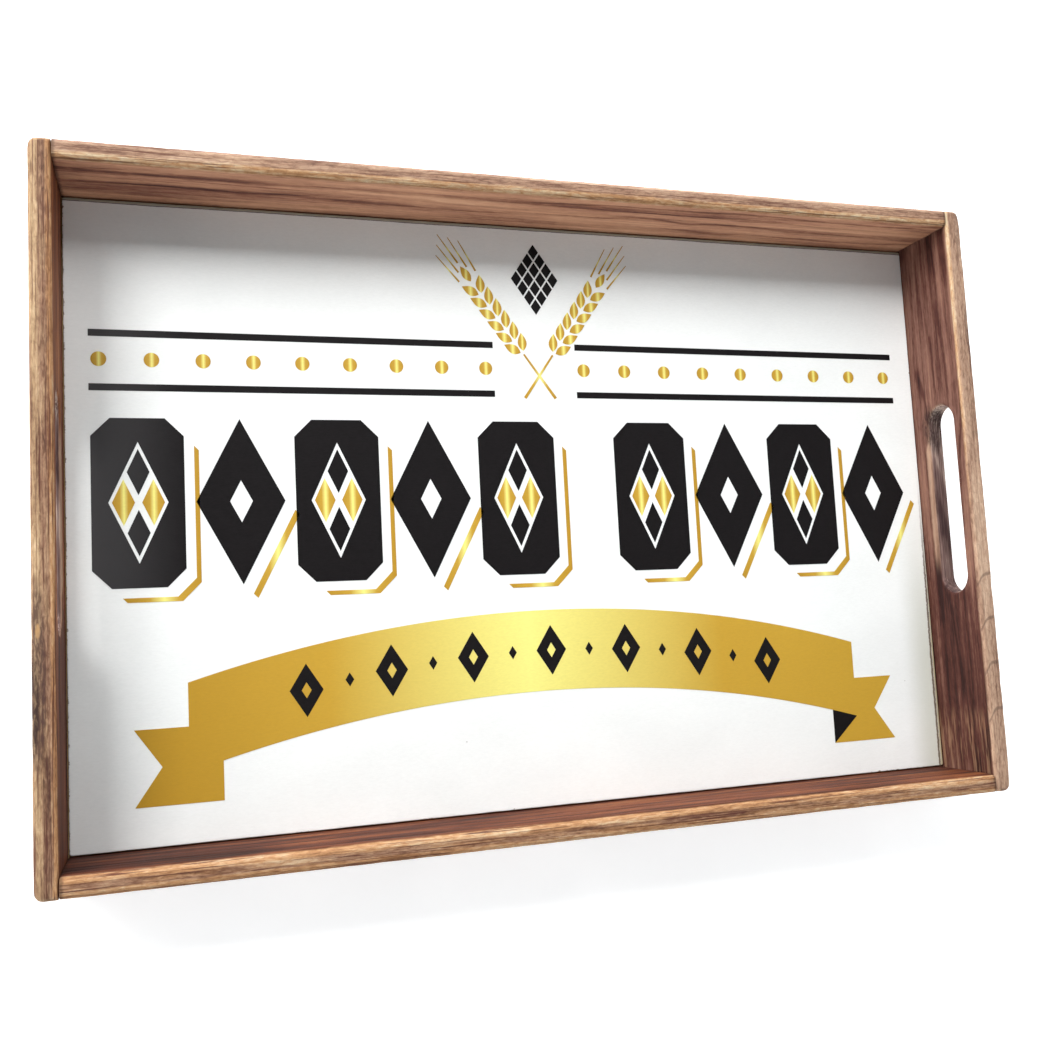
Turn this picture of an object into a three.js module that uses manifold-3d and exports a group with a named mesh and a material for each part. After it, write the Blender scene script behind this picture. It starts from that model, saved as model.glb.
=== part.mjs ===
// A wooden serving tray: two end walls with hand slots, two long walls butted and nailed between
// them, a plywood base held in a groove that runs round all four, and a white board lying on it.
// Millimetres. X runs along the tray, Y across it and +Z up. The origin is the middle of the
// footprint, on the surface that the tray stands on.
import * as THREE from 'three';
import { mergeVertices } from 'three/addons/utils/BufferGeometryUtils.js';
import Module from 'manifold-3d';

const wasm = await Module();
wasm.setup();

// The whole tray, outside: 18 by 12 by 2 inches.
const TRAY_LENGTH = 457.2;
const TRAY_DEPTH = 304.8;
const TRAY_HEIGHT = 50.8;

// The wall boards, and how far their edges are rounded.
const BOARD_THICKNESS = 9;
const OUTER_CORNER_RADIUS = 3.5;
const END_WALL_EASING = 1.4;
const LONG_WALL_TOP_RADIUS = 2.4;
const LONG_WALL_FOOT_RADIUS = 1.2;
const LONG_WALL_END_EASING = 0.8;
const GLUE_LINE = 0.1;

// The hand slot in each end wall: a round-ended slot whose edges are rounded on both faces.
const SLOT_LENGTH = 100;
const SLOT_HEIGHT = 19;
const SLOT_CENTRE_BELOW_RIM = 18.4;
const SLOT_ROUNDING = 2;

// The base board, captive in a groove on the inside of every wall.
const FOOT_LIP = 3.5;
const BASE_THICKNESS = 5;
const GROOVE_DEPTH = 4;
const GROOVE_CLEARANCE = 0.15;

// The printed board that lies loose-edged on the base.
const PANEL_THICKNESS = 3;
const PANEL_EDGE_GAP = 0.6;

// The finish nails that hold each corner, set just below the outer face.
const NAIL_LENGTH = 32;
const NAIL_SHANK_RADIUS = 0.75;
const NAIL_HEAD_RADIUS = 1.2;
const NAIL_HEAD_HEIGHT = 1.6;
const NAIL_POINT_LENGTH = 3;
const NAIL_SET_DEPTH = 0.5;
const NAIL_CLEARANCE = 0.15;
const NAIL_HEIGHTS = { low: 13, middle: 27, high: 41 };
const NAIL_SIDES = 12;

// Worked out from the sizes above.
const CAVITY_LENGTH = TRAY_LENGTH - 2 * BOARD_THICKNESS;
const CAVITY_DEPTH = TRAY_DEPTH - 2 * BOARD_THICKNESS;
const END_WALL_X = (TRAY_LENGTH - BOARD_THICKNESS) / 2;
const LONG_WALL_Y = (TRAY_DEPTH - BOARD_THICKNESS) / 2;
const BASE_MIDDLE_Z = FOOT_LIP + BASE_THICKNESS / 2;
const PANEL_MIDDLE_Z = FOOT_LIP + BASE_THICKNESS + GLUE_LINE + PANEL_THICKNESS / 2;
const NAIL_POINT_X = TRAY_LENGTH / 2 - NAIL_SET_DEPTH - NAIL_LENGTH;

// How finely the curves are faceted, and how far a cutter reaches past the face it cuts.
const CURVE_STEPS = 5;
const ROUNDING_STEPS = 3;
const OVERSHOOT = 1;

const stainedPine = new THREE.MeshStandardMaterial({ color: 0x8a5b3c, roughness: 0.6, metalness: 0 });
const edgePine = new THREE.MeshStandardMaterial({ color: 0xb28a62, roughness: 0.65, metalness: 0 });
const plywood = new THREE.MeshStandardMaterial({ color: 0xc9a878, roughness: 0.75, metalness: 0 });
const whiteBoard = new THREE.MeshStandardMaterial({ color: 0xf3f2ee, roughness: 0.45, metalness: 0 });
const nailSteel = new THREE.MeshStandardMaterial({ color: 0x77787a, roughness: 0.4, metalness: 1 });

// Turns an extrusion so that its outline (u, v) stands in the YZ plane and its length lies along X.
const OUTLINE_TO_YZ = new THREE.Matrix4().makeBasis(
  new THREE.Vector3(0, 1, 0),
  new THREE.Vector3(0, 0, 1),
  new THREE.Vector3(1, 0, 0),
);

// A closed geometry as a solid that can be cut.
function solidOf(geometry) {
  const bare = geometry.clone();
  bare.deleteAttribute('normal');
  bare.deleteAttribute('uv');
  const merged = mergeVertices(bare);
  const mesh = new wasm.Mesh({
    numProp: 3,
    vertProperties: new Float32Array(merged.attributes.position.array),
    triVerts: new Uint32Array(merged.index.array),
  });
  return new wasm.Manifold(mesh);
}

// A cut solid as a geometry again.
function geometryOf(solid) {
  const mesh = solid.getMesh();
  const geometry = new THREE.BufferGeometry();
  geometry.setAttribute('position', new THREE.BufferAttribute(mesh.vertProperties, 3));
  geometry.setIndex(new THREE.BufferAttribute(mesh.triVerts, 1));
  geometry.computeVertexNormals();
  return geometry;
}

function cut(blank, cutters) {
  let solid = solidOf(blank);
  for (const cutter of cutters) {
    solid = solid.subtract(solidOf(cutter));
  }
  return geometryOf(solid);
}

// A rectangle from (left, bottom) to (right, top), with a radius at each corner. A radius of 0
// leaves that corner sharp.
function rectangleOutline(left, bottom, right, top, radii) {
  const { bottomLeft, bottomRight, topRight, topLeft } = radii;
  const outline = new THREE.Shape();
  outline.moveTo(left + bottomLeft, bottom);
  outline.lineTo(right - bottomRight, bottom);
  if (bottomRight > 0) {
    outline.absarc(right - bottomRight, bottom + bottomRight, bottomRight, -Math.PI / 2, 0);
  }
  outline.lineTo(right, top - topRight);
  if (topRight > 0) {
    outline.absarc(right - topRight, top - topRight, topRight, 0, Math.PI / 2);
  }
  outline.lineTo(left + topLeft, top);
  if (topLeft > 0) {
    outline.absarc(left + topLeft, top - topLeft, topLeft, Math.PI / 2, Math.PI);
  }
  outline.lineTo(left, bottom + bottomLeft);
  if (bottomLeft > 0) {
    outline.absarc(left + bottomLeft, bottom + bottomLeft, bottomLeft, Math.PI, 1.5 * Math.PI);
  }
  return outline;
}

// An outline made into a board of the given length, centred on its middle, with its end edges
// rounded inwards by the easing.
function easedExtrusion(outline, length, easing) {
  const geometry = new THREE.ExtrudeGeometry(outline, {
    depth: length - 2 * easing,
    curveSegments: CURVE_STEPS,
    bevelThickness: easing,
    bevelSize: easing,
    bevelOffset: -easing,
    bevelSegments: ROUNDING_STEPS,
  });
  geometry.translate(0, 0, easing - length / 2);
  return geometry;
}

// The tool that cuts a hand slot: straight through the board, and opening out in a quarter round
// at both faces, so that the edges left on the wood are rounded.
function slotCutter() {
  const endRadius = SLOT_HEIGHT / 2;
  const straight = SLOT_LENGTH / 2 - endRadius;
  const outline = new THREE.Shape();
  outline.moveTo(-straight, -endRadius);
  outline.lineTo(straight, -endRadius);
  outline.absarc(straight, 0, endRadius, -Math.PI / 2, Math.PI / 2);
  outline.lineTo(-straight, endRadius);
  outline.absarc(-straight, 0, endRadius, Math.PI / 2, 1.5 * Math.PI);

  const skim = 0.04;
  const geometry = new THREE.ExtrudeGeometry(outline, {
    depth: BOARD_THICKNESS - 2 * SLOT_ROUNDING + 2 * skim,
    curveSegments: 2 * CURVE_STEPS,
    bevelThickness: SLOT_ROUNDING,
    bevelSize: -SLOT_ROUNDING,
    bevelOffset: SLOT_ROUNDING,
    bevelSegments: ROUNDING_STEPS,
  });
  geometry.translate(0, 0, SLOT_ROUNDING - BOARD_THICKNESS / 2 - skim);
  geometry.applyMatrix4(OUTLINE_TO_YZ);
  geometry.translate(0, 0, TRAY_HEIGHT - SLOT_CENTRE_BELOW_RIM);
  return geometry;
}

// The tool that cuts the base groove: a square bar as long as asked, lying along X, whose cut face
// is at y = 0 and which reaches GROOVE_DEPTH into the wood on the -Y side of it.
function grooveCutter(length) {
  const height = BASE_THICKNESS + 2 * GROOVE_CLEARANCE;
  const geometry = new THREE.BoxGeometry(length, GROOVE_DEPTH + OVERSHOOT, height);
  geometry.translate(0, (OVERSHOOT - GROOVE_DEPTH) / 2, BASE_MIDDLE_Z);
  return geometry;
}

// A finish nail or the hole for one, point at x = 0 and head towards +X: a lathed profile that is
// fatter all round by the clearance.
function nailGeometry(clearance, hasPunchMark) {
  const shank = NAIL_SHANK_RADIUS + clearance;
  const head = NAIL_HEAD_RADIUS + clearance;
  const headStart = NAIL_LENGTH - NAIL_HEAD_HEIGHT;
  const top = hasPunchMark ? NAIL_LENGTH : NAIL_LENGTH + NAIL_SET_DEPTH + OVERSHOOT;
  const profile = [
    new THREE.Vector2(0, -clearance),
    new THREE.Vector2(shank, NAIL_POINT_LENGTH),
    new THREE.Vector2(shank, headStart - clearance),
    new THREE.Vector2(head, headStart + NAIL_HEAD_RADIUS - NAIL_SHANK_RADIUS),
    new THREE.Vector2(head, top),
  ];
  if (hasPunchMark) {
    const markRadius = head / 2;
    profile.push(new THREE.Vector2(markRadius, top));
    profile.push(new THREE.Vector2(0, top - markRadius / 2));
  } else {
    profile.push(new THREE.Vector2(0, top));
  }
  const geometry = new THREE.LatheGeometry(profile, NAIL_SIDES);
  geometry.rotateZ(-Math.PI / 2);
  return geometry;
}

// The right end wall, centred on its own thickness, with its outer face towards +X. It runs the
// full depth of the tray and covers the ends of both long walls.
function endWallGeometry() {
  const halfThickness = BOARD_THICKNESS / 2;
  const halfDepth = TRAY_DEPTH / 2;
  const outline = rectangleOutline(-halfThickness, -halfDepth, halfThickness, halfDepth, {
    bottomLeft: 0,
    bottomRight: OUTER_CORNER_RADIUS,
    topRight: OUTER_CORNER_RADIUS,
    topLeft: 0,
  });
  const blank = easedExtrusion(outline, TRAY_HEIGHT, END_WALL_EASING);
  blank.translate(0, 0, TRAY_HEIGHT / 2);

  const groove = grooveCutter(CAVITY_DEPTH + 2 * GROOVE_DEPTH);
  groove.rotateZ(Math.PI / 2);
  groove.translate(-halfThickness, 0, 0);

  const cutters = [slotCutter(), groove];
  for (const y of [-LONG_WALL_Y, LONG_WALL_Y]) {
    for (const z of Object.values(NAIL_HEIGHTS)) {
      const hole = nailGeometry(NAIL_CLEARANCE, false);
      hole.translate(NAIL_POINT_X - END_WALL_X, y, z);
      cutters.push(hole);
    }
  }
  return cut(blank, cutters);
}

// The front long wall, centred on its own length and thickness, with its inner face towards +Y.
// It fits between the end walls, with a glue line at each end.
function longWallGeometry() {
  const halfThickness = BOARD_THICKNESS / 2;
  const profile = rectangleOutline(-halfThickness, 0, halfThickness, TRAY_HEIGHT, {
    bottomLeft: LONG_WALL_FOOT_RADIUS,
    bottomRight: LONG_WALL_FOOT_RADIUS,
    topRight: LONG_WALL_TOP_RADIUS,
    topLeft: LONG_WALL_TOP_RADIUS,
  });
  const blank = easedExtrusion(profile, CAVITY_LENGTH - 2 * GLUE_LINE, LONG_WALL_END_EASING);
  blank.applyMatrix4(OUTLINE_TO_YZ);

  const groove = grooveCutter(TRAY_LENGTH);
  groove.translate(0, halfThickness, 0);

  const cutters = [groove];
  for (const turn of [0, Math.PI]) {
    for (const z of Object.values(NAIL_HEIGHTS)) {
      const hole = nailGeometry(NAIL_CLEARANCE, false);
      hole.translate(NAIL_POINT_X, 0, z);
      hole.rotateZ(turn);
      cutters.push(hole);
    }
  }
  return cut(blank, cutters);
}

function baseGeometry() {
  const reach = 2 * (GROOVE_DEPTH - 2 * GROOVE_CLEARANCE);
  return new THREE.BoxGeometry(CAVITY_LENGTH + reach, CAVITY_DEPTH + reach, BASE_THICKNESS);
}

function panelGeometry() {
  const length = CAVITY_LENGTH - 2 * PANEL_EDGE_GAP;
  const depth = CAVITY_DEPTH - 2 * PANEL_EDGE_GAP;
  return new THREE.BoxGeometry(length, depth, PANEL_THICKNESS);
}

function addPiece(group, name, geometry, material) {
  const mesh = new THREE.Mesh(geometry, material);
  mesh.name = name;
  group.add(mesh);
  return mesh;
}

// Each wall of a pair is the other one turned half round.
function addWalls(tray) {
  const endWall = endWallGeometry();
  const rightWall = addPiece(tray, 'right_end_wall', endWall, edgePine);
  rightWall.position.x = END_WALL_X;
  const leftWall = addPiece(tray, 'left_end_wall', endWall, edgePine);
  leftWall.position.x = -END_WALL_X;
  leftWall.rotation.z = Math.PI;

  const longWall = longWallGeometry();
  const frontWall = addPiece(tray, 'front_long_wall', longWall, stainedPine);
  frontWall.position.y = -LONG_WALL_Y;
  const backWall = addPiece(tray, 'back_long_wall', longWall, stainedPine);
  backWall.position.y = LONG_WALL_Y;
  backWall.rotation.z = Math.PI;
}

function addFloor(tray) {
  const base = addPiece(tray, 'base_board', baseGeometry(), plywood);
  base.position.z = BASE_MIDDLE_Z;
  const panel = addPiece(tray, 'printed_panel', panelGeometry(), whiteBoard);
  panel.position.z = PANEL_MIDDLE_Z;
}

// Three nails at each corner, through the end wall into the end of the long wall.
function addNails(tray) {
  const nail = nailGeometry(0, true);
  const ends = { right: 0, left: Math.PI };
  const sides = { front: -LONG_WALL_Y, back: LONG_WALL_Y };
  for (const [endName, turn] of Object.entries(ends)) {
    for (const [sideName, y] of Object.entries(sides)) {
      for (const [heightName, z] of Object.entries(NAIL_HEIGHTS)) {
        const mesh = addPiece(tray, `nail_${endName}_${sideName}_${heightName}`, nail, nailSteel);
        mesh.position.set(Math.cos(turn) * NAIL_POINT_X, y, z);
        mesh.rotation.z = turn;
      }
    }
  }
}

const tray = new THREE.Group();
addWalls(tray);
addFloor(tray);
addNails(tray);

export default tray;
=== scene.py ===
import math

import bmesh
import bpy
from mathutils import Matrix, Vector, geometry, noise


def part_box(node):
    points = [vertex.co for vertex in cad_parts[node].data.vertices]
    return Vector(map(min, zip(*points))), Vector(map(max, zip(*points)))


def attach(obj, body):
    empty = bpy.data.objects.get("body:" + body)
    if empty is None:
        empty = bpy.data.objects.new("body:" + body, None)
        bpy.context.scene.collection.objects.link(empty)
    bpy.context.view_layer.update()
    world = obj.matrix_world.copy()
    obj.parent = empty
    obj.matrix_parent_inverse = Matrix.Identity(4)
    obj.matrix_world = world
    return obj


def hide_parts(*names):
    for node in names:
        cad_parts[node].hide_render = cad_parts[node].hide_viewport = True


# A stained wooden serving tray with a white board printed in black and gold. Every length below is
# in millimetres, and MM turns it into Blender's metres. A wall board is made in its own frame: x
# along the grain, y through the thickness with the tray's inside at +y, and z up from its foot.
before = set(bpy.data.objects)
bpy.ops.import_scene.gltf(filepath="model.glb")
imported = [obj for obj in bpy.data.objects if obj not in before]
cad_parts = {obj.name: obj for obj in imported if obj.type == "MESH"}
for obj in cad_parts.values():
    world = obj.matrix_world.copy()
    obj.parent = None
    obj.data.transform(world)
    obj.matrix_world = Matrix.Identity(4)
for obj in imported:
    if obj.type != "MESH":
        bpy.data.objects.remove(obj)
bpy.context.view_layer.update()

MM = 0.001


def box_mm(node):
    low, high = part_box(node)
    return low / MM, high / MM


END_LOW, END_HIGH = box_mm("right_end_wall")
LONG_LOW, LONG_HIGH = box_mm("front_long_wall")
BASE_LOW, BASE_HIGH = box_mm("base_board")
PANEL_LOW, PANEL_HIGH = box_mm("printed_panel")

# The wall boards: their sizes, and how far their edges are rounded.
THICKNESS = END_HIGH.x - END_LOW.x
HALF = THICKNESS / 2
HEIGHT = END_HIGH.z
END_WALL_LENGTH = END_HIGH.y - END_LOW.y
LONG_WALL_LENGTH = LONG_HIGH.x - LONG_LOW.x
RIM_INNER_RADIUS = 2.8
RIM_OUTER_RADIUS = 2.2
FOOT_RADIUS = 1.2
LONG_WALL_END_EASING = 0.35
END_WALL_EASING = 1.5
OUTER_CORNER_RADIUS = 3.5
INNER_CORNER_RADIUS = 0.5
EDGE_CORNER_RADIUS = 2.0
FACE_SPACING = 1.6

# The hand slot in each end wall, and the groove that holds the base.
SLOT_LENGTH = 100
SLOT_RADIUS = 9.5
SLOT_STRAIGHT = SLOT_LENGTH / 2 - SLOT_RADIUS
SLOT_CENTRE_Z = HEIGHT - 18.4
SLOT_ROUNDING = 2.0
GROOVE_DEPTH = 4
GROOVE_CLEARANCE = 0.15

# The nails' holes, the same as the CAD walls have.
NAIL_HEIGHTS = (13, 27, 41)
NAIL_HOLE_RADIUS = 0.9
NAIL_HEAD_RADIUS = 1.35
NAIL_HEAD_DEPTH = 2.1
NAIL_REACH = 32.5
NAIL_POINT_LENGTH = 3

# The printed board's edge, and the thickness of the ink on it.
PANEL_EDGE_RADIUS = 0.4
PANEL_RAGGEDNESS = 0.18
INK_HEIGHT = 0.12


# ------------ Meshes


def arc(centre, radius, start, end, steps):
    """Points on an arc, from the angle start to the angle end in degrees, both included."""
    points = []
    for step in range(steps + 1):
        angle = math.radians(start + (end - start) * step / steps)
        points.append((centre[0] + radius * math.cos(angle), centre[1] + radius * math.sin(angle)))
    return points


def rounded_corner(before, corner, after, radius, steps=6):
    """The quarter circle that rounds a square corner between two neighbouring points."""
    if radius == 0:
        return [tuple(corner)]
    corner = Vector(corner)
    back = (Vector(before) - corner).normalized()
    ahead = (Vector(after) - corner).normalized()
    centre = corner + (back + ahead) * radius
    points = []
    for step in range(steps + 1):
        turn = math.pi / 2 * step / steps
        point = centre - ahead * radius * math.cos(turn) - back * radius * math.sin(turn)
        points.append(tuple(point))
    return points


def rounded_polygon(corners):
    """An outline through square corners, each given as (x, y, radius)."""
    points = []
    for index, (x, y, radius) in enumerate(corners):
        before = corners[index - 1][:2]
        after = corners[(index + 1) % len(corners)][:2]
        points += rounded_corner(before, (x, y), after, radius)
    return points


def refined(points, spacing, closed=True):
    """The same outline with more points on its long straight stretches."""
    ends = points[1:] + points[:1] if closed else points[1:]
    finer = []
    for start, end in zip(points, ends):
        pieces = max(1, math.ceil(math.dist(start, end) / spacing))
        for piece in range(pieces):
            share = piece / pieces
            finer.append(tuple(a + (b - a) * share for a, b in zip(start, end)))
    if not closed:
        finer.append(points[-1])
    return finer


def bridge(mesh, rows):
    """Adds faces between each closed row of vertices and the next one."""
    count = len(rows[0])
    for row, following in zip(rows, rows[1:]):
        for index in range(count):
            other = (index + 1) % count
            mesh.faces.new((row[index], row[other], following[other], following[index]))


def add_skin(mesh, rings, closed):
    """Adds a surface through rings of points in mm. The last ring joins the first one if closed;
    otherwise the first and last rings are capped."""
    rows = [[mesh.verts.new(Vector(point) * MM) for point in ring] for ring in rings]
    bridge(mesh, rows + rows[:1] if closed else rows)
    if not closed:
        mesh.faces.new(rows[0])
        mesh.faces.new(rows[-1])


def add_box(mesh, low, high):
    """Adds a closed box between two corners in mm."""
    floor = [(low[0], low[1]), (high[0], low[1]), (high[0], high[1]), (low[0], high[1])]
    rings = [[(x, y, z) for x, y in floor] for z in (low[2], high[2])]
    add_skin(mesh, rings, closed=False)


def add_nail_hole(mesh, opening, inward):
    """Adds the solid that cuts one nail's hole, from the outer face at opening, going inward."""
    sideways = Vector((0, 0, 1))
    upwards = inward.cross(sideways)
    profile = [
        (-1, NAIL_HEAD_RADIUS),
        (NAIL_HEAD_DEPTH, NAIL_HEAD_RADIUS),
        (NAIL_HEAD_DEPTH + 0.5, NAIL_HOLE_RADIUS),
        (NAIL_REACH - NAIL_POINT_LENGTH, NAIL_HOLE_RADIUS),
        (NAIL_REACH, 0.1),
    ]
    rings = []
    for depth, radius in profile:
        circle = arc((0, 0), radius, 0, 345, 23)
        rings.append([opening + inward * depth + sideways * u + upwards * v for u, v in circle])
    add_skin(mesh, rings, closed=False)


def add_plate(mesh, loops, bottom, top):
    """Adds a flat closed plate. The first loop is its outline and any others are holes in it. Its
    vertices' shine goes from 0 at its left end to 1 at its right end."""
    shine = mesh.verts.layers.float.get("shine") or mesh.verts.layers.float.new("shine")
    points = [point for loop in loops for point in loop]
    left = min(x for x, y in points)
    width = max(x for x, y in points) - left
    low = [mesh.verts.new((x * MM, y * MM, bottom * MM)) for x, y in points]
    high = [mesh.verts.new((x * MM, y * MM, top * MM)) for x, y in points]
    for row in (low, high):
        for vertex, (x, y) in zip(row, points):
            vertex[shine] = (x - left) / width
    flat = [[Vector((x, y, 0)) for x, y in loop] for loop in loops]
    for a, b, c in geometry.tessellate_polygon(flat):
        mesh.faces.new((high[a], high[b], high[c]))
        mesh.faces.new((low[c], low[b], low[a]))
    start = 0
    for loop in loops:
        for index in range(len(loop)):
            here = start + index
            there = start + (index + 1) % len(loop)
            mesh.faces.new((low[here], low[there], high[there], high[here]))
        start += len(loop)


def placed(name, data):
    """A new object in the scene."""
    made = bpy.data.objects.new(name, data)
    bpy.context.scene.collection.objects.link(made)
    return made


def smoothed(data, below):
    """Shades a mesh smooth, but for its edges sharper than below degrees."""
    data.shade_smooth()
    data.set_sharp_from_angle(angle=math.radians(below))


def finished(mesh, name, smooth_below=40):
    """Turns a bmesh into an object whose edges sharper than smooth_below degrees stay sharp."""
    bmesh.ops.recalc_face_normals(mesh, faces=mesh.faces)
    data = bpy.data.meshes.new(name)
    mesh.to_mesh(data)
    mesh.free()
    smoothed(data, smooth_below)
    return placed(name, data)


def cut_by(piece, cutter):
    """Cuts the cutter object out of the piece, and removes the cutter."""
    cut = piece.modifiers.new("cut", "BOOLEAN")
    cut.operation = "DIFFERENCE"
    cut.solver = "MANIFOLD"
    cut.object = cutter
    graph = bpy.context.evaluated_depsgraph_get()
    data = bpy.data.meshes.new_from_object(piece.evaluated_get(graph))
    piece.modifiers.clear()
    piece.data = data
    smoothed(data, 40)
    bpy.data.objects.remove(cutter)


def clearance_to_edge(x, y, z, length):
    """How far a point on a board's surface is from the nearest of the board's edges."""
    gaps = [HALF - abs(y), min(z, HEIGHT - z), length / 2 - abs(x)]
    return sorted(gaps)[1]


def worn(point, length, seed):
    """Moves a point of a board a little way in: a shallow waviness all over, and flats and dents
    where handling and sanding have worn the edges."""
    x, y, z = point
    place = Vector((x / 26, y / 9, z / 14)) + Vector((seed, seed, seed))
    wave = 0.5 + 0.5 * noise.noise(place)
    dents = max(0.0, noise.noise(place * 3.1))
    closeness = max(0.0, 1 - clearance_to_edge(x, y, z, length) / 3.0)
    inward = 0.06 * wave + closeness * (0.10 * wave + 0.32 * dents)
    x_share = 1 - inward / (length / 2)
    y_share = 1 - inward / HALF
    lowered = closeness * (0.08 * wave + 0.24 * dents) if z > HEIGHT / 2 else 0
    return (x * x_share, y * y_share, z - lowered)


def long_wall_mesh(mesh, seed):
    """A long wall: its rounded and grooved cross-section, carried along its length."""
    groove_low = BASE_LOW.z - GROOVE_CLEARANCE
    groove_high = BASE_HIGH.z + GROOVE_CLEARANCE
    section = rounded_polygon([
        (-HALF, 0, FOOT_RADIUS),
        (HALF, 0, FOOT_RADIUS),
        (HALF, groove_low, 0),
        (HALF - GROOVE_DEPTH, groove_low, 0),
        (HALF - GROOVE_DEPTH, groove_high, 0),
        (HALF, groove_high, 0),
        (HALF, HEIGHT, RIM_INNER_RADIUS),
        (-HALF, HEIGHT, RIM_OUTER_RADIUS),
    ])
    section = refined(section, FACE_SPACING)
    reach = LONG_WALL_LENGTH / 2
    stations = []
    for x, inset in arc((reach - LONG_WALL_END_EASING, 0), LONG_WALL_END_EASING, 0, 90, 4):
        stations.append((x, LONG_WALL_END_EASING - inset))
    middle = refined([(stations[-1][0], 0), (-stations[-1][0], 0)], FACE_SPACING, closed=False)
    stations += middle[1:-1]
    stations += [(-x, inset) for x, inset in reversed(stations[:5])]
    rings = []
    for x, inset in stations:
        share = 1 - inset / HALF
        lift = inset / HEIGHT
        ring = [(x, y * share, z * (1 - 2 * lift) + inset) for y, z in section]
        rings.append([worn(point, LONG_WALL_LENGTH, seed) for point in ring])
    add_skin(mesh, rings, closed=False)


def slot_and_edge():
    """Matching pairs that go round an end wall: a point on the slot's middle line with the
    direction from it to the slot's wall, and a point on the board's outline."""
    half = END_WALL_LENGTH / 2
    top = HEIGHT / 2
    turn_down = rounded_corner((0, top), (half, top), (half, 0), EDGE_CORNER_RADIUS)
    turn_back = rounded_corner((half, 0), (half, -top), (0, -top), EDGE_CORNER_RADIUS)
    fan = [(SLOT_STRAIGHT, top), *turn_down, *turn_back, (SLOT_STRAIGHT, -top)]
    fan = refined(fan, FACE_SPACING, closed=False)
    along = refined([(-SLOT_STRAIGHT, 0), (SLOT_STRAIGHT, 0)], FACE_SPACING, closed=False)
    pairs = []
    for side in (1, -1):
        for x, _ in along[1:-1]:
            pairs.append(((side * x, 0), (0, side), (side * x, side * top)))
        for index, (x, z) in enumerate(fan):
            angle = math.pi / 2 - math.pi * index / (len(fan) - 1)
            way = (side * math.cos(angle), side * math.sin(angle))
            pairs.append(((side * SLOT_STRAIGHT, 0), way, (side * x, side * z)))
    return pairs


def edge_radius(x, corner_radius):
    """How much an end wall's face is rounded off at its edge, at a distance x from its middle:
    a small easing along the top and foot, and the corner's own radius at the ends."""
    start = END_WALL_LENGTH / 2 - 8
    share = min(1, max(0, (abs(x) - start) / 8))
    share = share * share * (3 - 2 * share)
    return END_WALL_EASING + (corner_radius - END_WALL_EASING) * share


def end_wall_side(side, corner_radius):
    """The rings of half an end wall, from the middle of the slot's wall, out over the face on that
    side and round to the middle of the board's edge."""
    face_steps = 22
    pairs = slot_and_edge()

    def on_slot(offset, y):
        reach = SLOT_RADIUS + offset
        return [(c[0] + way[0] * reach, y, SLOT_CENTRE_Z + way[1] * reach) for c, way, _ in pairs]

    def on_edge(share, lift):
        """share is how far in the edge's rounding has come, and lift how far up it, from 0 to 1."""
        points = []
        for _, _, (x, z) in pairs:
            radius = edge_radius(x, corner_radius)
            narrow = 1 - share * corner_radius / (END_WALL_LENGTH / 2)
            low = 1 - share * END_WALL_EASING / (HEIGHT / 2)
            points.append((x * narrow, side * (HALF - radius * (1 - lift)), HEIGHT / 2 + z * low))
        return points

    rings = [on_slot(0, side * (HALF - SLOT_ROUNDING) * step / 2) for step in range(2)]
    for inset, rise in arc((0, 0), 1, 0, 90, 5):
        offset = SLOT_ROUNDING * (1 - inset)
        rings.append(on_slot(offset, side * (HALF - SLOT_ROUNDING * (1 - rise))))
    inner = rings[-1]
    outer = on_edge(1, 1)
    for step in range(1, face_steps):
        share = (step / face_steps) ** 1.15
        ring = []
        for start, end in zip(inner, outer):
            ring.append(tuple(a + (b - a) * share for a, b in zip(start, end)))
        rings.append(ring)
    for rise, inset in arc((0, 0), 1, 90, 0, 5):
        rings.append(on_edge(1 - rise, inset))
    edge = rings[-1]
    for step in (1, 2):
        rings.append([(x, y * (1 - step / 3), z) for x, y, z in edge])
    return rings


def end_wall_mesh(mesh, seed):
    """An end wall: a closed band of rings that goes through the slot and round the board."""
    inside = end_wall_side(1, INNER_CORNER_RADIUS)
    outside = end_wall_side(-1, OUTER_CORNER_RADIUS)
    rings = inside + outside[:0:-1]
    rings = [[worn(point, END_WALL_LENGTH, seed) for point in ring] for ring in rings]
    add_skin(mesh, rings, closed=True)


def add_nail_holes(cutter, x, y, inward):
    """Adds the holes at both ends of a board. x is how far from its middle they open, and inward
    their direction at the end where x is positive."""
    for end in (-1, 1):
        for z in NAIL_HEIGHTS:
            direction = Vector((end * inward[0], inward[1], 0))
            add_nail_hole(cutter, Vector((end * x, y, z)), direction)


def long_wall_cuts(cutter):
    add_nail_holes(cutter, END_HIGH.x, 0, (-1, 0))


def end_wall_cuts(cutter):
    reach = (BASE_HIGH.y - BASE_LOW.y) / 2 + 2 * GROOVE_CLEARANCE
    low = (-reach, HALF - GROOVE_DEPTH, BASE_LOW.z - GROOVE_CLEARANCE)
    high = (reach, HALF + 1, BASE_HIGH.z + GROOVE_CLEARANCE)
    add_box(cutter, low, high)
    add_nail_holes(cutter, (END_WALL_LENGTH - THICKNESS) / 2, -HALF, (0, 1))


def make_wall(name, board_mesh, cuts, seed):
    mesh = bmesh.new()
    board_mesh(mesh, seed)
    wall = finished(mesh, name)
    cutter = bmesh.new()
    cuts(cutter)
    cut_by(wall, finished(cutter, "cutter"))
    return wall


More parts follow.
